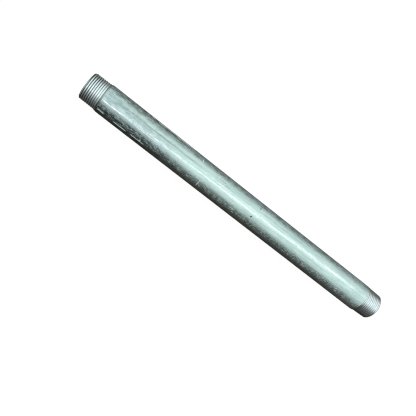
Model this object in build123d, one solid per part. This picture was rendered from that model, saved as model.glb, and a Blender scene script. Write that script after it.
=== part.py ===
from build123d import *
import math
import os

# Threaded pipe nipple: a length of seam-welded steel pipe, hot-dip galvanised inside and out,
# with a right-hand taper thread (R 1, 11 threads per inch) cut on each end after galvanising.
# Millimetres. The pipe lies along X with its middle at the origin, and +Z is up.

# Pipe
PIPE_LENGTH = 406.4
STEEL_OD = 33.3
WALL = 3.2
RIM_CHAMFER = 1.1
BORE_CHAMFER = 0.5

# Taper pipe thread, 55 degree form, 1:16 on diameter
PITCH = 25.4 / 11
TAPER_ON_RADIUS = 1 / 32
CREST_CROWN = 0.02
GAUGE_LENGTH = 10.4
GAUGE_MAJOR_RADIUS = 33.249 / 2
GAUGE_MINOR_RADIUS = 30.291 / 2
FLANK_ANGLE = 27.5
ROOT_WIDTH = PITCH / 6
CUTTER_STANDOFF = 0.7
RING_MARGIN = 1.0
WASHOUT_LENGTH = 4.2
THREAD_LENGTH = 20.5
THREAD_START = {-1: -60.0, 1: -27.0}

# Zinc coating. Outside, its radius is taken to the tops of its runs and lumps
OUTER_ZINC = 0.2
INNER_ZINC = 0.1
BARE_SKIRT = 0.8
PLUS_X_EDGE_TILT = -4.0

# Trimmed flash of the seam weld, a low bead that runs along the bore
BEAD_RADIUS = 0.75
BEAD_PROUD = 0.2
BEAD_SETBACK = 0.6
BEAD_ANGLE = 140.0

HALF = PIPE_LENGTH / 2
STEEL_RADIUS = STEEL_OD / 2
STEEL_BORE = STEEL_RADIUS - WALL
ZINC_RADIUS = STEEL_RADIUS + OUTER_ZINC
ZINC_BORE = STEEL_BORE - INNER_ZINC
ALONG_X = Rot(0, 90, 0)


def turned(*outline):
    """A solid of revolution about X from (x, radius) corners."""
    return revolve(Plane.XZ * Polygon(*outline, align=None), Axis.X)


def thread_cutter(start, end, root_radius, cone_angle):
    """The space that one helical groove takes, from start to end along Z."""
    helix = Helix(PITCH, end - start, root_radius, center=(0, 0, start), cone_angle=cone_angle)
    depth = GAUGE_MAJOR_RADIUS - GAUGE_MINOR_RADIUS + CUTTER_STANDOFF
    narrow = ROOT_WIDTH / 2
    wide = narrow + depth * math.tan(math.radians(FLANK_ANGLE))
    section = Polygon((0, -narrow), (0, narrow), (depth, wide), (depth, -wide), align=None)
    across = Plane(origin=(root_radius, 0, start), x_dir=(1, 0, 0), z_dir=helix % 0)
    return sweep(across * section, path=helix, is_frenet=True)


def root_radius_at(depth_from_face):
    """The thread's root radius, which grows with the 1:16 taper."""
    return GAUGE_MINOR_RADIUS + (depth_from_face - GAUGE_LENGTH) * TAPER_ON_RADIUS


def thread_cutters(start):
    """Full-depth groove and the wash-out behind it, for a face at z = 0 with the pipe on +Z.

    The start turns both about the pipe, which sets where the grooves fall along it."""
    entry = -PITCH
    full = THREAD_LENGTH - WASHOUT_LENGTH
    taper = math.degrees(math.atan(TAPER_ON_RADIUS))
    groove = thread_cutter(entry, full, root_radius_at(entry), taper)
    climb = ZINC_RADIUS - root_radius_at(full)
    fade = math.degrees(math.atan(climb / WASHOUT_LENGTH))
    washout = thread_cutter(full, THREAD_LENGTH, root_radius_at(full), fade)
    turn = 360 * (full - entry) / PITCH
    return Rot(0, 0, start) * groove, Rot(0, 0, start + turn) * washout


def at_end(shape, side):
    """Places a shape made for a face at z = 0 on the pipe's -X (side -1) or +X (side 1) end."""
    return Pos(side * HALF, 0, 0) * Rot(0, -90 * side, 0) * shape


def steel_blank():
    """The plain pipe, with the edges of its bore reamed at both ends."""
    throat = HALF - BORE_CHAMFER
    return turned(
        (-HALF, STEEL_BORE + BORE_CHAMFER),
        (-HALF, STEEL_RADIUS),
        (HALF, STEEL_RADIUS),
        (HALF, STEEL_BORE + BORE_CHAMFER),
        (throat, STEEL_BORE),
        (-throat, STEEL_BORE),
    )


def crest_ring():
    """What is turned off one end: its crests are left blunt, on a 1:16 cone, very slightly crowned."""
    meets_pipe = THREAD_LENGTH + BARE_SKIRT
    clear = STEEL_RADIUS + RING_MARGIN
    rim_radius = STEEL_RADIUS - (meets_pipe - RIM_CHAMFER) * TAPER_ON_RADIUS
    rim = (rim_radius, 0, RIM_CHAMFER)
    shoulder = (STEEL_RADIUS + CREST_CROWN, 0, meets_pipe + CREST_CROWN / TAPER_ON_RADIUS)
    crown = ((rim[0] + shoulder[0]) / 2 + CREST_CROWN, 0, (rim[2] + shoulder[2]) / 2)
    crests = ThreePointArc(rim, crown, shoulder)
    outside = Polyline(
        shoulder,
        (clear, 0, shoulder[2]),
        (clear, 0, -RING_MARGIN),
        (rim_radius - RIM_CHAMFER - RING_MARGIN, 0, -RING_MARGIN),
        rim,
    )
    return revolve(Face(Wire([crests, *outside.edges()])), Axis.Z)


def weld_bead():
    """The trimmed bead, let into the wall of the bore so that only its crown stands out."""
    length = PIPE_LENGTH - 2 * BEAD_SETBACK
    out = ZINC_BORE - BEAD_PROUD + BEAD_RADIUS
    angle = math.radians(BEAD_ANGLE)
    rod = ALONG_X * Cylinder(BEAD_RADIUS, length)
    return Pos(0, out * math.cos(angle), out * math.sin(angle)) * rod


def steel_pipe(bead):
    """The steel pipe with both threads cut and the weld's bead in its bore."""
    pipe = steel_blank()
    for side in (-1, 1):
        for waste in (*thread_cutters(THREAD_START[side]), crest_ring()):
            pipe -= at_end(waste, side)
    return pipe - bead


def end_trim(side, tilt):
    """The space beyond the zinc's edge at one end, with that edge turned out of square by the tilt."""
    block = Box(PIPE_LENGTH, 3 * STEEL_OD, 3 * STEEL_OD)
    edge = HALF - THREAD_LENGTH - BARE_SKIRT
    return Pos(side * edge, 0, 0) * Rot(0, 0, tilt) * Pos(side * HALF, 0, 0) * block


def outer_zinc():
    """The coating on the barrel, cut off where the threads begin."""
    skin = ALONG_X * (Cylinder(ZINC_RADIUS, PIPE_LENGTH) - Cylinder(STEEL_RADIUS, PIPE_LENGTH))
    return skin - end_trim(-1, 0) - end_trim(1, PLUS_X_EDGE_TILT)


def inner_zinc(bead):
    """The coating on the bore, which the reamed ends and the weld's crown interrupt."""
    length = PIPE_LENGTH - 2 * BORE_CHAMFER
    tube = ALONG_X * (Cylinder(STEEL_BORE, length) - Cylinder(ZINC_BORE, length))
    return tube - bead


def main():
    os.makedirs("parts", exist_ok=True)
    bead = weld_bead()
    nodes = {
        "steel_pipe": steel_pipe(bead),
        "weld_bead": bead,
        "outer_zinc_coating": outer_zinc(),
        "inner_zinc_coating": inner_zinc(bead),
    }
    for name, shape in nodes.items():
        export_step(shape, f"parts/{name}.step")


main()
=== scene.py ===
import math
from functools import partial
from types import SimpleNamespace

import bpy
import numpy as np
from mathutils import Matrix, Vector


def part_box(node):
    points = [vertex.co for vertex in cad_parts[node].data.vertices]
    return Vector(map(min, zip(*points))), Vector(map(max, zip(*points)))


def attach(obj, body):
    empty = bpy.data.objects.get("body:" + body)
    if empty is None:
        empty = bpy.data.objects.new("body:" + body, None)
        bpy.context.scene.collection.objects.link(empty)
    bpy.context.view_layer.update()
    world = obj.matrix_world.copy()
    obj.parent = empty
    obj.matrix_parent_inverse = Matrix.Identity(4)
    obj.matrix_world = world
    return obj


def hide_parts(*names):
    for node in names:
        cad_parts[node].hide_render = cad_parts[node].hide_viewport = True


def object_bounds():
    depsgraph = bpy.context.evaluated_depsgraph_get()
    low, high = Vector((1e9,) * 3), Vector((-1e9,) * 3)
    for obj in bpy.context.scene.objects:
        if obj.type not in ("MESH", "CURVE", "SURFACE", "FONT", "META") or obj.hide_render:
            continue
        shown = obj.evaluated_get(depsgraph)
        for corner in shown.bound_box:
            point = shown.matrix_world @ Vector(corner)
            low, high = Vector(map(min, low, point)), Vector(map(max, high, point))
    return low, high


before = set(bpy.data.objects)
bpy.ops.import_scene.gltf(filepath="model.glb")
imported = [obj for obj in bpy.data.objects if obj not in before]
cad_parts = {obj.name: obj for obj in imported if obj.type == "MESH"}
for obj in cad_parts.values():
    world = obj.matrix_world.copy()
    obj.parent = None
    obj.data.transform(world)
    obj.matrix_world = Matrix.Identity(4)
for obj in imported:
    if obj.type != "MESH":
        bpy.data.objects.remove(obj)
cad_low, cad_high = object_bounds()

# ---------------------------------------------------------------- sizes, in metres
MM = 0.001
HALF = cad_high.x
STEEL_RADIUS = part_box("steel_pipe")[1].z
STEEL_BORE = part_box("inner_zinc_coating")[1].z
ZINC_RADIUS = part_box("outer_zinc_coating")[1].z

# In each table by side, -1 is the end at -X and 1 the end at +X.

# Zinc: thin where it was wiped, and thicker towards -X, where the pipe drained
WIPED_ZINC = 0.05 * MM
DRAINED_ZINC = 0.11 * MM
DRAINED_LENGTH = 260 * MM
THINNEST_ZINC = 0.03 * MM
ZINC_RUNS = 30
INNER_ZINC = 0.1 * MM
ZINC_EDGE = 21.3 * MM
ZINC_EDGE_TILT = {-1: 0.0, 1: math.radians(-4.0)}
ZINC_EDGE_ROUNDING = 0.7 * MM

# End faces: how far the bore's chamfer runs in and out, and the rim's chamfer
BORE_CHAMFER = 0.5 * MM
BORE_EASED = 0.3 * MM
RIM_CHAMFER = {-1: 1.1 * MM, 1: 1.2 * MM}
FACE_MARGIN = 0.02 * MM

# Taper pipe thread, 55 degree form, 11 threads per inch
PITCH = 25.4 * MM / 11
TAPER = 1 / 32
GAUGE_LENGTH = 10.4 * MM
GAUGE_MINOR_RADIUS = 30.291 * MM / 2
FLANK_SLOPE = 1 / math.tan(math.radians(27.5))
ROOT_HALF_WIDTH = PITCH / 12
THREAD_LENGTH = 21.2 * MM
WASHOUT_LENGTH = 0.9 * MM

# Where the helix lies along the pipe, and the crests, which climb to the barrel from the shoulder to the zinc
THREAD_SHIFT = {-1: 0.96 * MM, 1: -0.75 * MM}
CREST_AT_FACE = {-1: 15.86 * MM, 1: 15.50 * MM}
CREST_TAPER = {-1: 1 / 160, 1: 1 / 28}
SHOULDER = 17.2 * MM

# The threads were cut a little off centre, towards +Y, and were worn and rounded; shade is painted deep in
# their grooves and in the corner at the zinc's edge
OFF_CENTRE = {-1: 0.10 * MM, 1: 0.24 * MM}
CREST_WEAR = 0.006 * MM
CREST_ROUNDING = 0.16 * MM
ROOT_ROUNDING = 0.12 * MM
WASHOUT_ROUNDING = 0.6 * MM
RIM_ROUNDING = 0.3 * MM
DIRTY_DEPTH = 0.75 * MM
GROOVE_DIRT = {-1: 1.0, 1: 0.72}
CORNER_WIDTH = 1.0 * MM
CORNER_DIRT = 0.75

# Weld's bead in the bore
BEAD_RADIUS = 0.75 * MM
BEAD_PROUD = 0.2 * MM
BEAD_SETBACK = 0.6 * MM
BEAD_ANGLE = math.radians(140)

# How fine the meshes are: columns around, rows along
STEEL_COLUMNS = 224
SKIN_COLUMNS = 216
LINING_COLUMNS = 120
BEAD_COLUMNS = 20
END_ROWS = 190
FACE_ROWS = 7
SKIN_ROWS = 420
LINING_ROWS = 260
BEAD_ROWS = 240


# ---------------------------------------------------------------- mesh helpers
def smooth_noise(shape, spread, seed):
    """Random relief on a wrapping grid, about 1 high, with features spread rows by columns across."""
    rough = np.random.RandomState(seed).normal(size=shape)
    rows = np.fft.fftfreq(shape[0])[:, None] * spread[0]
    columns = np.fft.rfftfreq(shape[1])[None, :] * spread[1]
    kept = np.exp(-4 * (rows**2 + columns**2))
    relief = np.fft.irfft2(np.fft.rfft2(rough) * kept, s=shape)
    return relief / relief.std()


def soft_min(a, b, radius):
    """The lower of two surfaces, with the crease between them rounded."""
    return (a + b - np.sqrt((a - b) ** 2 + radius**2)) / 2


def soft_ramp(value, radius):
    """Zero below zero and the value above it, with the corner rounded."""
    return (value + np.sqrt(value**2 + radius**2)) / 2


def ease(value):
    """A smooth step from 0 to 1 as value goes from 0 to 1."""
    t = np.clip(value, 0, 1)
    return t * t * (3 - 2 * t)


def angles(columns):
    """Evenly spaced angles around X, from +Y towards +Z."""
    return np.arange(columns) * (2 * math.pi / columns)


def wrapped_mesh(name, along, radius, centre=(0.0, 0.0), closed=True, **masks):
    """A mesh of rings about X. Each row is a ring; a closed one joins its last row to its first."""
    rows, columns = radius.shape
    theta = angles(columns)[None, :]
    y = centre[0] + radius * np.cos(theta)
    z = centre[1] + radius * np.sin(theta)
    points = np.stack([np.broadcast_to(along, radius.shape), y, z], axis=-1).reshape(-1, 3)
    index = np.arange(rows * columns).reshape(rows, columns)
    here = index if closed else index[:-1]
    ahead = np.roll(index, -1, axis=0) if closed else index[1:]
    quads = np.stack([here, ahead, np.roll(ahead, -1, axis=1), np.roll(here, -1, axis=1)], axis=-1)
    faces = quads.reshape(-1, 4).tolist()
    if not closed:
        faces += [index[0][::-1].tolist(), index[-1].tolist()]
    mesh = bpy.data.meshes.new(name)
    mesh.from_pydata(points.tolist(), [], faces)
    mesh.shade_smooth()
    mesh.set_sharp_from_angle(angle=math.radians(40))
    for key, mask in masks.items():
        mesh.attributes.new(key, "FLOAT", "POINT").data.foreach_set("value", mask.ravel())
    mesh.validate()
    piece = bpy.data.objects.new(name, mesh)
    bpy.context.collection.objects.link(piece)
    return piece


def place(piece, node, slot, material):
    """Lets a detailed piece stand for its CAD node."""
    piece.data.materials.append(material)
    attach(piece, "root")
    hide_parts(node)


# ---------------------------------------------------------------- threads
def threaded_end(side, depth, theta):
    """Radius of the steel at a depth from one face, and how much painted shade each point gets, 0 to 1, deep
    in the grooves and in the corner at the zinc's edge.
    """
    along = side * (HALF - depth)
    phase = (along - THREAD_SHIFT[side]) / PITCH - theta / (2 * math.pi)
    offset = (phase - np.round(phase)) * PITCH
    groove_depth = depth + side * offset
    full = THREAD_LENGTH - WASHOUT_LENGTH
    shift = OFF_CENTRE[side] * np.cos(theta)
    root = GAUGE_MINOR_RADIUS + (groove_depth - GAUGE_LENGTH) * TAPER
    climb = (ZINC_RADIUS - root) / WASHOUT_LENGTH
    root = root + shift + soft_ramp(groove_depth - full, WASHOUT_ROUNDING) * climb
    flank = root + soft_ramp(np.abs(offset) - ROOT_HALF_WIDTH, ROOT_ROUNDING) * FLANK_SLOPE
    crest = CREST_AT_FACE[side] + depth * CREST_TAPER[side] + shift
    crest = crest + (STEEL_RADIUS - crest) * ease((depth - SHOULDER) / (ZINC_EDGE - SHOULDER))
    worn = smooth_noise(depth.shape, (20, 16), 5 + side)
    crest = crest - CREST_WEAR * np.abs(worn)
    chamfer = CREST_AT_FACE[side] - RIM_CHAMFER[side] + depth + shift
    surface = soft_min(soft_min(flank, crest, CREST_ROUNDING), chamfer, RIM_ROUNDING)
    surface = np.minimum(surface, STEEL_RADIUS)
    # Painted shade: darker the deeper a point lies below the crest, and darker in the corner where the thread
    # meets the zinc.
    groove = np.clip((crest - surface) / DIRTY_DEPTH, 0, 1) * GROOVE_DIRT[side]
    corner = ease((depth - ZINC_EDGE + CORNER_WIDTH) / (0.5 * CORNER_WIDTH))
    return surface, np.maximum(groove, CORNER_DIRT * corner)


def steel_pipe():
    """The whole steel pipe as one skin: threads, barrel, end faces and bore."""
    theta = angles(STEEL_COLUMNS)
    plain = np.zeros(STEEL_COLUMNS)
    under_zinc = 1.8 * MM
    barrel_start = 24 * MM
    bore_start = 12 * MM
    along, radius, dirty = [], [], []

    def ring(x, r, dirt=plain):
        along.append(x + plain)
        radius.append(r + plain)
        dirty.append(dirt)

    def end_rows(side):
        depth = np.linspace(0, ZINC_EDGE + under_zinc, END_ROWS)
        grid = np.broadcast_to(depth[:, None], (END_ROWS, STEEL_COLUMNS))
        surface, dirt = threaded_end(side, grid, np.broadcast_to(theta, grid.shape))
        for i in range(END_ROWS)[::-side]:
            ring(side * (HALF - depth[i]), surface[i], dirt[i])

    def face_rows(side):
        rim = CREST_AT_FACE[side] - RIM_CHAMFER[side] - 0.2 * MM + OFF_CENTRE[side] * np.cos(theta)
        lip = STEEL_BORE + BORE_EASED
        marks = 0.012 * MM * np.abs(smooth_noise((FACE_ROWS, STEEL_COLUMNS), (2, 20), 31 + side))
        rows = [(side * (HALF - BORE_CHAMFER), STEEL_BORE)]
        for share, mark in zip(np.linspace(0, 1, FACE_ROWS), marks):
            rows.append((side * (HALF - FACE_MARGIN - mark), lip + (rim - lip) * share))
        for x, r in rows[::-side]:
            ring(x, r)

    face_rows(-1)
    end_rows(-1)
    for x in np.linspace(-HALF + barrel_start, HALF - barrel_start, 24):
        ring(x, STEEL_RADIUS)
    end_rows(1)
    face_rows(1)
    for x in np.linspace(HALF - bore_start, -HALF + bore_start, 16):
        ring(x, STEEL_BORE)
    return wrapped_mesh("steel_pipe_surface", np.array(along), np.array(radius), dirt=np.array(dirty))


# ---------------------------------------------------------------- zinc
def zinc_edge(side, theta, seed):
    """Where the zinc stops at one end: ragged, and out of square where the cutter ran out."""
    ragged = smooth_noise((8, theta.size), (1, 16), seed)[0] * 0.18 * MM
    tilt = math.tan(ZINC_EDGE_TILT[side]) * STEEL_RADIUS * np.cos(theta)
    return side * (HALF - ZINC_EDGE) - tilt + ragged


def zinc_runs(x, theta):
    """Height of the drained runs: long low ridges, mostly near -X where the pipe drained."""
    draw = np.random.RandomState(11)
    height = np.zeros(x.shape)
    for number in range(ZINC_RUNS):
        where = draw.uniform(0, 2 * math.pi)
        near = draw.uniform() ** 2.2
        start = -HALF + 22 * MM + near * 260 * MM
        length = draw.uniform(20, 70) * MM
        width = draw.uniform(0.6, 1.1) * MM / STEEL_RADIUS
        tall = draw.uniform(0.02, 0.05) * MM * (1.25 - near)
        sway = 0.03 * np.sin((x - start) * draw.uniform(40, 90) + number)
        across = (theta - where - sway + math.pi) % (2 * math.pi) - math.pi
        ends = ease((x - start) / (6 * MM)) * ease((start + length - x) / (9 * MM))
        height += tall * ends * np.exp(-((across / width) ** 2))
    return height * (0.25 + 0.75 * ease(0.6 - np.sin(theta)))


def outer_zinc():
    """The coating on the barrel, with its runs, wiped ridges and lumps."""
    theta = angles(SKIN_COLUMNS)
    left = zinc_edge(-1, theta, 3)
    right = zinc_edge(1, theta, 4)
    near_edge = np.array([0.0006, 0.0014, 0.0026])
    middle = np.linspace(0.0045, 0.9955, SKIN_ROWS)
    share = np.concatenate([[0], near_edge, middle, 1 - near_edge[::-1], [1]])
    x = left + (right - left) * share[:, None]
    wrap = np.broadcast_to(theta, x.shape)
    from_left = x - left
    from_right = right - x
    room = ZINC_RADIUS - STEEL_RADIUS
    drained = DRAINED_ZINC * ease(1 - from_left / DRAINED_LENGTH)
    lumps = 0.007 * MM * smooth_noise(x.shape, (6, 9), 21)
    wiped = 0.006 * MM * smooth_noise(x.shape, (90, 4.5), 23)
    relief = lumps + wiped + zinc_runs(x, wrap)
    edge = ease(from_left / ZINC_EDGE_ROUNDING + 0.2) * ease(from_right / ZINC_EDGE_ROUNDING + 0.2)
    thickness = np.clip(WIPED_ZINC + drained + relief, THINNEST_ZINC, room) * edge
    inner_x = left + (right - left) * np.linspace(1, 0, 12)[:, None]
    along = np.concatenate([x, inner_x])
    inside = np.full(inner_x.shape, STEEL_RADIUS - 0.01 * MM)
    radius = np.concatenate([STEEL_RADIUS + thickness, inside])
    return wrapped_mesh("outer_zinc_skin", along, radius)


def inner_zinc():
    """The coating on the bore: matt, lumpy, with a few runs."""
    x = np.linspace(-HALF + BORE_CHAMFER, HALF - BORE_CHAMFER, LINING_ROWS)[:, None]
    shape = (LINING_ROWS, LINING_COLUMNS)
    lumps = 0.03 * MM * smooth_noise(shape, (3, 5), 41)
    runs = 0.05 * MM * np.maximum(smooth_noise(shape, (60, 3), 42) - 1.2, 0)
    depth = ease((HALF - np.abs(x)) / (2 * MM))
    inner = STEEL_BORE - INNER_ZINC - (np.abs(lumps) + runs) * depth
    outer = np.full((8, LINING_COLUMNS), STEEL_BORE)
    back = np.linspace(HALF - BORE_CHAMFER, -HALF + BORE_CHAMFER, 8)[:, None]
    along = np.concatenate([np.broadcast_to(x, shape), np.broadcast_to(back, outer.shape)])
    piece = wrapped_mesh("inner_zinc_lining", along, np.concatenate([inner, outer]))
    piece.data.flip_normals()
    return piece


def weld_bead():
    """The trimmed bead along the bore: a low rod with uneven ripples and rounded ends."""
    share = np.linspace(0, 1, BEAD_ROWS)[:, None]
    x = (2 * share - 1) * (HALF - BEAD_SETBACK)
    ripple = 0.05 * np.sin(x / (1.1 * MM)) + 0.05 * smooth_noise((BEAD_ROWS, BEAD_COLUMNS), (3, 8), 51)
    ends = np.sqrt(np.clip(np.minimum(share, 1 - share) * BEAD_ROWS / 2, 0.0004, 1))
    radius = BEAD_RADIUS * (1 + ripple) * ends
    out = STEEL_BORE - INNER_ZINC - BEAD_PROUD + BEAD_RADIUS
    centre = (out * math.cos(BEAD_ANGLE), out * math.sin(BEAD_ANGLE))
    return wrapped_mesh("weld_bead_ridge", x, radius, centre, closed=False)


# ---------------------------------------------------------------- shader helpers
class Graph:
    """A short way to wire the nodes of a material or a world."""

    def __init__(self, owner):
        owner.use_nodes = True
        self.tree = owner.node_tree
        self.tree.nodes.clear()

    def add(self, kind, **settings):
        node = self.tree.nodes.new(kind)
        for key, value in settings.items():
            setattr(node, key, value)
        return node

    def link(self, source, target):
        self.tree.links.new(source, target)

    def axes(self, place):
        """The x, y and z of a place."""
        node = self.add("ShaderNodeSeparateXYZ")
        self.link(place, node.inputs[0])
        return node.outputs

    def turn(self, y, z):
        """The angle around the X axis, 0 at the top and + towards -Y."""
        return self.math("ARCTAN2", self.math("MULTIPLY", y, -1.0), z)

    def span(self, value, low, high, to_low=0.0, to_high=1.0, ends="SMOOTHSTEP"):
        """Maps a stretch of a value onto another, with soft ends unless they are LINEAR."""
        node = self.add("ShaderNodeMapRange", interpolation_type=ends)
        self.link(value, node.inputs["Value"])
        for key, number in zip(("From Min", "From Max", "To Min", "To Max"), (low, high, to_low, to_high)):
            node.inputs[key].default_value = number
        return node.outputs["Result"]

    def sector(self, turn, low, high, to_low=0.0, to_high=1.0):
        """A span of an angle around the pipe, given in degrees."""
        return self.span(turn, math.radians(low), math.radians(high), to_low, to_high)

    def math(self, operation, a, b=0.0):
        node = self.add("ShaderNodeMath", operation=operation)
        for socket, value in zip(node.inputs, (a, b)):
            if isinstance(value, (int, float)):
                socket.default_value = value
            else:
                self.link(value, socket)
        return node.outputs[0]

    def times(self, *values):
        """The product of any number of values."""
        product = values[0]
        for value in values[1:]:
            product = self.math("MULTIPLY", product, value)
        return product

    def highest(self, *values):
        """The highest of any number of values."""
        top = values[0]
        for value in values[1:]:
            top = self.math("MAXIMUM", top, value)
        return top

    def mix(self, share, a, b):
        """A colour between a and b."""
        node = self.add("ShaderNodeMix", data_type="RGBA")
        self.link(share, node.inputs["Factor"])
        for socket, value in ((node.inputs[6], a), (node.inputs[7], b)):
            if isinstance(value, tuple):
                socket.default_value = (*value, 1.0)
            else:
                self.link(value, socket)
        return node.outputs[2]


class Metal(Graph):
    """A metal's material, with its patterns laid out in object coordinates."""

    def __init__(self, name):
        self.material = bpy.data.materials.new(name)
        super().__init__(self.material)
        self.shader = self.add("ShaderNodeBsdfPrincipled")
        self.shader.inputs["Metallic"].default_value = 1.0
        output = self.add("ShaderNodeOutputMaterial")
        self.link(self.shader.outputs[0], output.inputs[0])
        self.place = self.add("ShaderNodeTexCoord").outputs["Object"]

    def stretched(self, scale):
        """Object coordinates, scaled per axis in features per metre."""
        mapping = self.add("ShaderNodeMapping")
        mapping.inputs["Scale"].default_value = scale
        self.link(self.place, mapping.inputs["Vector"])
        return mapping.outputs[0]

    def noise(self, scale, detail=3.0, roughness=0.55, distortion=0.0):
        node = self.add("ShaderNodeTexNoise")
        self.link(self.stretched(scale), node.inputs["Vector"])
        node.inputs["Scale"].default_value = 1.0
        node.inputs["Detail"].default_value = detail
        node.inputs["Roughness"].default_value = roughness
        node.inputs["Distortion"].default_value = distortion
        return node.outputs["Fac"]

    def cells(self, scale):
        """The distance to the nearest of many scattered points."""
        node = self.add("ShaderNodeTexVoronoi")
        self.link(self.stretched(scale), node.inputs["Vector"])
        node.inputs["Scale"].default_value = 1.0
        return node.outputs["Distance"]

    def mask(self, name):
        """A mask that the mesh carries."""
        return self.add("ShaderNodeAttribute", attribute_name=name).outputs["Fac"]

    def bump(self, height, distance, strength=1.0, under=None):
        """A relief up to a distance high, laid over another one where there is one under it."""
        node = self.add("ShaderNodeBump")
        node.inputs["Distance"].default_value = distance
        node.inputs["Strength"].default_value = strength
        self.link(height, node.inputs["Height"])
        if under is not None:
            self.link(under, node.inputs["Normal"])
        return node.outputs[0]

    def finish(self, colour, roughness, normal):
        self.link(colour, self.shader.inputs["Base Color"])
        self.link(roughness, self.shader.inputs["Roughness"])
        self.link(normal, self.shader.inputs["Normal"])
        return self.material


# ---------------------------------------------------------------- outer zinc's looks
# Angles around the pipe are in degrees from the top, + towards -Y. The dark grey-green below is the zinc's
# own for its blotches, and also serves as shade painted on its flanks.
MOTTLE = (0.20, 0.30, 0.28)


def zinc_patterns(n):
    """The regions and patterns that the zinc's colour, roughness and relief share."""
    p = SimpleNamespace()
    p.x, y, z = n.axes(n.place)
    p.turn = n.turn(y, z)
    p.lower = n.sector(p.turn, 18, 44)
    p.upper = n.sector(p.turn, -32, -54)
    p.hem = n.sector(p.turn, 40, 60, 1.0, 0.15)
    p.patina = n.span(p.x, -0.06, -0.15)
    # The flanks: rougher, and where shade is painted into the blotches.
    p.rough_side = n.highest(p.lower, n.times(p.upper, 0.25))
    p.wobble = n.noise((40, 40, 40), 2.0, 0.5)
    p.dimple = n.noise((300, 620, 620), 2.0, 0.55, 0.3)
    p.fleck = n.noise((420, 800, 800), 2.0, 0.6, 0.5)
    p.blotch = n.noise((150, 330, 330), 4.0, 0.62, 0.6)
    p.weep = n.noise((640, 130, 130), 3.0, 0.55, 0.4)
    p.streak = n.noise((8, 900, 900), 2.0, 0.5)
    p.cloud = n.noise((16, 60, 60), 3.0, 0.5)
    p.grain = n.noise((150, 380, 380), 3.0, 0.6, 0.3)
    # Matt flecks low on -Y: rougher, and also painted pale as a painted highlight.
    p.matt = n.times(n.highest(n.span(p.fleck, 0.55, 0.64), n.span(p.weep, 0.46, 0.36)), p.lower, p.hem)
    return p


def zinc_mark(n, p, at, degrees, half_length, half_width, sway=0.0, strength=1.0):
    """A soft-ended mark at a place along the pipe and an angle around it. Its lengths are in mm."""
    along = n.math("ABSOLUTE", n.math("SUBTRACT", p.x, at * MM))
    bend = n.times(n.math("SUBTRACT", p.wobble, 0.5), sway)
    around = n.math("SUBTRACT", n.math("ADD", p.turn, bend), math.radians(degrees))
    reach = half_width * MM / STEEL_RADIUS
    ends = n.span(along, half_length * MM, 0.6 * half_length * MM)
    sides = n.span(n.math("ABSOLUTE", around), reach, 0.2 * reach)
    return n.times(ends, sides, strength)


def zinc_marks(n, p):
    """Adds the masks of the single marks: pits, drained drips partly painted as highlights, scars, lines
    painted as highlights, and scratches.
    """
    mark = partial(zinc_mark, n, p)
    far_side = n.sector(n.math("ABSOLUTE", p.turn), 62, 72)
    pits_beyond = n.times(n.span(n.cells((120, 120, 120)), 0.09, 0.04), far_side)
    p.pits = n.highest(pits_beyond, mark(15.9, 14, 0.9, 1.6))
    p.pale_band = mark(-105, -27, 78, 2.1, 0.10)
    # Drained drips; their near-white colour below is partly a painted highlight on their ridges.
    p.runs = n.highest(
        mark(-152, 55, 10, 1.0, 0.06),
        mark(-130, 53, 11, 0.8, 0.12),
        mark(-176, 54, 5, 1.4, 0.3),
        mark(-127, 50, 1.2, 1.8),
        mark(-104, -69, 38, 1.8, 0.08, strength=0.7),
    )
    p.scars = n.highest(
        mark(-140, -66, 2.6, 2.4),
        mark(-133, -66, 1.8, 2.4),
        mark(-125, -66, 3.0, 2.4),
        mark(-106, -61, 9, 2.2, 0.08),
        mark(-175, 41, 7, 1.4, 0.2),
        mark(-158, 39, 6, 1.4, 0.3),
        mark(-128, 43, 9, 1.2, 0.3, strength=0.7),
        mark(-112, -17, 60, 0.9, 0.04, strength=0.45),
        mark(20, -38, 1.2, 4.0, 0.5, strength=0.5),
    )
    # Lines along the pipe, painted near white below as painted highlights: the bright streaks of the lamps.
    p.wiped = n.highest(
        mark(-167, 10.5, 15, 0.55, 0.02),
        mark(-125, 12, 19, 0.5, 0.02),
        mark(-9, 5, 12, 0.4, 0.02),
        mark(42, -18, 24, 0.35, 0.02),
        mark(112, -2, 10, 0.5, 0.02),
        mark(128, -12, 12, 0.4, 0.02),
    )
    p.scratches = n.highest(
        mark(-52, 40, 0.55, 7.0),
        mark(-61, -46, 0.9, 2.4),
        mark(-37, -33, 0.9, 4.2, 0.3),
        mark(-31, -25, 5, 0.9, 0.2),
        mark(-25, -19, 5, 0.9, 0.3),
        mark(-6, 34, 3.5, 0.6, 0.2),
        mark(-3, 48, 1.4, 0.7),
        mark(17, 9.5, 1.2, 0.6),
        mark(146, 32, 1.2, 0.9),
    )


def brushed(n, p):
    """Bright zinc, streaked lengthwise by the wiping, and duller with patina towards -X."""
    brushing = n.noise((34, 420, 420), 3.0, 0.6)
    tint = n.noise((50, 90, 90), 2.0, 0.5)
    colour = n.mix(n.span(p.cloud, 0.35, 0.68), (0.575, 0.79, 0.745), (0.62, 0.83, 0.80))
    colour = n.mix(n.span(p.streak, 0.52, 0.70, 0.0, 0.30), colour, (0.70, 0.92, 0.87))
    colour = n.mix(n.span(p.streak, 0.48, 0.34, 0.0, 0.22), colour, (0.40, 0.56, 0.52))
    colour = n.mix(n.span(brushing, 0.50, 0.66, 0.0, 0.35), colour, (0.38, 0.52, 0.50))
    colour = n.mix(n.span(brushing, 0.50, 0.36, 0.0, 0.45), colour, (0.72, 0.94, 0.89))
    colour = n.mix(n.span(tint, 0.48, 0.62, 0.0, 0.24), colour, (0.54, 0.74, 0.78))
    off_band = n.sector(p.turn, -24, -8, 0.15, 1.0)
    dull = n.times(p.patina, off_band, n.span(p.cloud, 0.3, 0.7, 0.35, 0.7))
    return n.mix(dull, colour, (0.42, 0.56, 0.59))


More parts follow.
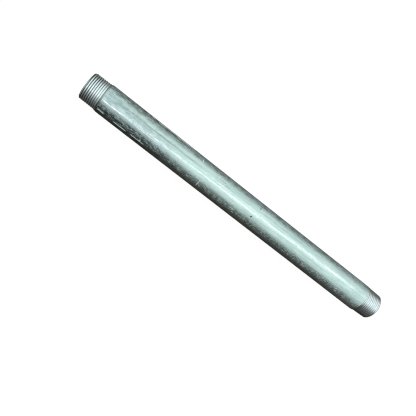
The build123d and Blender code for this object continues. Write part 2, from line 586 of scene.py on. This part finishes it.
def mottled(n, p, colour):
    """Blotches everywhere, darker along both flanks as painted shade; grain high on +Y and near -X; and
    weeping, rough flecks painted pale as highlights, and blisters low on -Y.
    """
    # The blotches darken more near -X, and more on both flanks, where that is painted shade.
    dark_share = n.math("ADD", n.times(p.patina, 0.25), 0.10)
    dark_share = n.math("ADD", n.times(p.rough_side, 0.50), dark_share)
    colour = n.mix(n.times(n.span(p.blotch, 0.45, 0.58), dark_share), colour, MOTTLE)
    colour = n.mix(n.times(n.span(p.grain, 0.50, 0.57, 0.0, 0.60), p.upper), colour, (0.22, 0.29, 0.26))
    colour = n.mix(n.times(n.span(p.grain, 0.48, 0.41, 0.0, 0.65), p.upper), colour, (0.66, 0.90, 0.84))
    grained = n.times(p.patina, n.sector(p.turn, 4, -14, 0.3, 1.0))
    colour = n.mix(n.times(grained, n.span(p.grain, 0.46, 0.60, 0.0, 0.55)), colour, (0.30, 0.40, 0.38))
    weeping = n.times(n.span(p.weep, 0.50, 0.64), n.sector(p.turn, 14, 30))
    colour = n.mix(n.times(weeping, 0.35), colour, (0.20, 0.30, 0.29))
    # Painted highlight: the matt flecks made paler.
    colour = n.mix(n.times(p.matt, 0.5), colour, (0.80, 0.90, 0.87))
    near_left = n.span(p.x, 0.02, -0.11, 0.25, 1.0)
    blisters = n.span(n.cells((280, 460, 460)), 0.34, 0.18)
    blisters = n.times(blisters, p.hem, near_left, n.sector(p.turn, 14, 28))
    return n.mix(n.times(blisters, 0.70), colour, (0.10, 0.15, 0.15))


def stained(n, p, colour):
    """Dark pits; painted shade on the foot on -Y, darker and browner there; darker marbling low near -X; and
    pale flecks painted there as highlights.
    """
    colour = n.mix(n.times(p.pits, 0.9), colour, (0.06, 0.08, 0.07))
    # Painted shade on the -Y flank.
    colour = n.mix(n.times(p.lower, 0.2), colour, MOTTLE)
    # Painted shade, warm brown, lower down on -Y.
    colour = n.mix(n.times(n.sector(p.turn, 40, 64), 0.40), colour, (0.34, 0.31, 0.25))
    low_left = n.times(p.patina, n.sector(p.turn, 18, 32), n.sector(p.turn, 74, 110, 1.0, 0.2))
    marbling = n.span(p.blotch, 0.43, 0.56, 0.20, 0.92)
    colour = n.mix(n.times(low_left, marbling), colour, (0.11, 0.17, 0.17))
    # Painted highlight: pale flecks low near -X.
    flecks = n.span(p.fleck, 0.54, 0.62, 0.0, 0.65)
    return n.mix(n.times(low_left, p.hem, flecks), colour, (0.84, 0.95, 0.93))


def outer_zinc_material():
    """Hot-dip zinc: smoothed by wiping on top, blotchy along both flanks with painted shade among the
    blotches, marks from draining and handling, and lines painted along it as highlights.
    """
    n = Metal("outer_zinc")
    p = zinc_patterns(n)
    zinc_marks(n, p)
    colour = stained(n, p, mottled(n, p, brushed(n, p)))
    for marks, share, tone in (
        (p.pale_band, 0.40, (0.72, 0.95, 0.84)),
        (p.runs, 0.85, (0.88, 1.0, 0.97)),
        # Drips painted near white: partly a painted highlight on their ridges.
        (p.scars, 0.90, (0.12, 0.17, 0.15)),
        # Painted highlights: lines painted near white along the pipe.
        (p.wiped, 0.80, (0.88, 1.0, 0.96)),
        (p.scratches, 0.75, (0.95, 1.0, 0.97)),
    ):
        colour = n.mix(n.times(marks, share), colour, tone)

    raised = n.highest(p.runs, p.scratches)
    patchy = n.span(p.blotch, 0.35, 0.7, 0.0, 0.08)
    roughness = n.math("ADD", patchy, n.span(p.streak, 0.35, 0.7, 0.11, 0.20))
    roughness = n.math("ADD", roughness, n.span(p.x, 0.13, 0.175, 0.0, 0.16))
    roughness = n.math("ADD", roughness, n.highest(n.times(p.matt, 0.45), n.times(raised, 0.75)))
    dimpled = n.math("ADD", n.times(p.rough_side, 0.55), 0.10)
    dimples = n.times(n.math("SUBTRACT", p.dimple, 0.5), p.hem, dimpled)
    normal = n.bump(dimples, 0.0009)
    normal = n.bump(p.streak, 0.00004, under=normal)
    normal = n.bump(n.math("SUBTRACT", raised, p.pits), 0.0003, under=normal)
    return n.finish(colour, roughness, normal)


# ---------------------------------------------------------------- the other metals' looks
def steel_material():
    """Cut steel: bright crests with fine tool marks, and painted shade deep in the grooves and along both
    flanks of the pipe.
    """
    n = Metal("cut_steel")
    x, y, z = n.axes(n.place)
    turn = n.turn(y, z)
    tool_marks = n.noise((5200, 60, 60), 2.0, 0.5)
    stain = n.noise((240, 240, 240), 4.0, 0.6)
    colour = n.mix(n.span(stain, 0.50, 0.80), (0.82, 0.96, 0.975), (0.62, 0.75, 0.77))
    colour = n.mix(n.span(tool_marks, 0.5, 0.8, 0.0, 0.4), colour, (0.96, 1.0, 1.0))
    flanks = n.sector(n.math("ABSOLUTE", turn), 8, 32, 0.74, 0.97)
    # Painted shade deep in the grooves and in the corner at the zinc's edge, strongest on both sides of the
    # pipe; these places are rougher too.
    dirt = n.span(n.mask("dirt"), 0.30, 0.75)
    colour = n.mix(n.times(dirt, flanks), colour, (0.16, 0.20, 0.19))
    # Painted shade along the lower side and the upper edge of the threads, darker towards +X.
    oily = n.highest(n.sector(turn, -4, 28), n.sector(turn, -26, -58, 0.0, 0.95))
    oil = n.times(oily, n.span(x, -0.1, 0.1, 0.18, 0.92), n.span(stain, 0.30, 0.60, 1.0, 0.8))
    colour = n.mix(oil, colour, (0.19, 0.205, 0.195))
    roughness = n.math("ADD", n.span(tool_marks, 0.3, 0.7, 0.16, 0.24), n.times(dirt, 0.2))
    return n.finish(colour, roughness, n.bump(tool_marks, 0.00001, 0.5))


def inner_zinc_material():
    """Unwiped zinc in the bore: matt, grey and lumpy."""
    n = Metal("inner_zinc")
    lump = n.noise((300, 420, 420), 4.0, 0.6)
    stain = n.noise((60, 90, 90), 3.0, 0.6)
    colour = n.mix(n.span(stain, 0.35, 0.7), (0.52, 0.58, 0.56), (0.34, 0.37, 0.36))
    colour = n.mix(n.span(lump, 0.5, 0.75, 0.0, 0.6), colour, (0.64, 0.69, 0.67))
    roughness = n.span(lump, 0.3, 0.7, 0.42, 0.62)
    return n.finish(colour, roughness, n.bump(lump, 0.0001, 0.7))


def weld_material():
    """Trimmed weld flash, galvanised over: darker, scaly."""
    n = Metal("weld_flash")
    scale = n.noise((900, 700, 700), 4.0, 0.65)
    colour = n.mix(n.span(scale, 0.4, 0.7), (0.40, 0.42, 0.41), (0.22, 0.23, 0.22))
    roughness = n.span(scale, 0.3, 0.7, 0.4, 0.65)
    return n.finish(colour, roughness, n.bump(scale, 0.0001, 0.8))


# ---------------------------------------------------------------- studio
CAMERA_TILT = math.radians(10.4)
CAMERA_ROLL = math.radians(37.527)
CAMERA_STAND = Vector((-0.03407, -0.0050, 0.55266))
LENS_MM = 43.27
SENSOR_MM = 36.0
STUDIO_SIZE = 6.0
LAMP_TURN = math.radians(39.4)
WHITE_GLOW = 0.93
PIXEL_FILTER = 1.1

# How bright the walls are at each angle around the pipe, in degrees from the top, + towards -Y
WALL_TONES = (
    (-180, 0.25), (-160, 0.13), (-140, 0.24), (-115, 0.28), (-100, 0.38), (-85, 0.60),
    (-70, 0.83), (-45, 0.92), (-20, 0.98), (0, 0.98), (15, 0.92), (28, 0.83), (40, 0.66),
    (50, 0.46), (65, 0.27), (80, 0.15), (100, 0.11), (125, 0.07), (150, 0.05), (180, 0.25),
)


def camera():
    data = bpy.data.cameras.new("camera")
    data.lens = LENS_MM
    data.sensor_width = SENSOR_MM
    data.clip_start = 0.01
    data.clip_end = 50.0
    stand = bpy.data.objects.new("camera", data)
    turn = Matrix.Rotation(-CAMERA_TILT, 4, "Y") @ Matrix.Rotation(CAMERA_ROLL, 4, "Z")
    stand.matrix_world = turn @ Matrix.Translation(CAMERA_STAND)
    bpy.context.collection.objects.link(stand)
    bpy.context.scene.camera = stand


def room():
    """The studio's walls: bright above and on +Y, dark and warm on -Y, with a pale screen past the -X end."""
    world = bpy.data.worlds.new("studio")
    bpy.context.scene.world = world
    n = Graph(world)
    x, y, z = n.axes(n.add("ShaderNodeTexCoord").outputs["Generated"])
    ramp = n.add("ShaderNodeValToRGB")
    n.link(n.span(n.turn(y, z), -math.pi, math.pi, ends="LINEAR"), ramp.inputs[0])
    stops = ramp.color_ramp.elements
    while len(stops) < len(WALL_TONES):
        stops.new(0.5)
    for stop, (degrees, level) in zip(stops, WALL_TONES):
        warmth = max(0.0, min(1.0, (degrees - 60) / 60))
        stop.position = (degrees + 180) / 360
        stop.color = (level * (1 + 0.12 * warmth), level, level * (1 - 0.08 * warmth), 1)
    past_end = n.span(x, -0.45, -0.80, 0.0, 0.9)
    above_floor = n.span(z, -0.60, -0.25)
    screen = n.span(y, -0.35, 0.05, 0.60, 0.98)
    background = n.add("ShaderNodeBackground")
    n.link(n.mix(n.times(past_end, above_floor), ramp.outputs[0], screen), background.inputs["Color"])
    n.link(background.outputs[0], n.add("ShaderNodeOutputWorld").inputs[0])


def pale(name, corners, faces):
    """A plain pale surface of the studio. It glows, and isn't mirrored in the metal."""
    mesh = bpy.data.meshes.new(name)
    mesh.from_pydata(corners, [], faces)
    surface = bpy.data.objects.new(name, mesh)
    bpy.context.collection.objects.link(surface)
    material = bpy.data.materials.new("pale_" + name)
    material.use_nodes = True
    shader = material.node_tree.nodes["Principled BSDF"]
    shader.inputs["Base Color"].default_value = (0.12, 0.12, 0.12, 1)
    shader.inputs["Roughness"].default_value = 1.0
    shader.inputs["Specular IOR Level"].default_value = 0.0
    shader.inputs["Emission Color"].default_value = (1, 1, 1, 1)
    shader.inputs["Emission Strength"].default_value = WHITE_GLOW
    mesh.materials.append(material)
    surface.visible_glossy = False
    return surface


def floor_and_backdrop():
    """The floor that the pipe lies on, with only the softest shadow, and plain walls far behind it."""
    low = cad_low.z
    signs = ((-1, -1), (1, -1), (1, 1), (-1, 1))
    corners = [(x * STUDIO_SIZE, y * STUDIO_SIZE, low) for x, y in signs]
    tops = [(x, y, STUDIO_SIZE) for x, y, _ in corners]
    pale("floor", corners, [(0, 1, 2, 3)])
    walls = pale("backdrop", corners + tops, [(i, (i + 1) % 4, (i + 1) % 4 + 4, i + 4) for i in range(4)])
    walls.visible_diffuse = False
    walls.visible_shadow = False


def area_light(name, at, size, radiance, colour=(1, 1, 1)):
    """A rectangular lamp that faces straight down, as bright as a surface of the given radiance."""
    data = bpy.data.lights.new(name, "AREA")
    data.shape = "RECTANGLE"
    data.size, data.size_y = size
    data.energy = radiance * math.pi * size[0] * size[1]
    data.color = colour
    lamp = bpy.data.objects.new(name, data)
    lamp.matrix_world = Matrix.Translation(at) @ Matrix.Rotation(LAMP_TURN, 4, "Z")
    bpy.context.collection.objects.link(lamp)


def lights():
    """Two long thin lamps that draw bright lines along the pipe, and a wide soft one over them."""
    area_light("strip", (0.224, 0.123, 1.0), (1.6, 0.05), 1.5, (1.0, 0.76, 0.74))
    area_light("slit", (0.1, 0.40, 1.0), (1.3, 0.035), 0.55, (1.0, 0.80, 0.78))
    area_light("softbox", (0.2, 0.20, 1.1), (1.8, 0.45), 0.13)


# ---------------------------------------------------------------- assembly
place(steel_pipe(), "steel_pipe", "bare_steel", steel_material())
place(outer_zinc(), "outer_zinc_coating", "galvanised_outside", outer_zinc_material())
place(inner_zinc(), "inner_zinc_coating", "galvanised_inside", inner_zinc_material())
place(weld_bead(), "weld_bead", "weld_metal", weld_material())

camera()
room()
floor_and_backdrop()
lights()
bpy.context.scene.view_settings.view_transform = "Standard"
bpy.context.scene.cycles.filter_width = PIXEL_FILTER
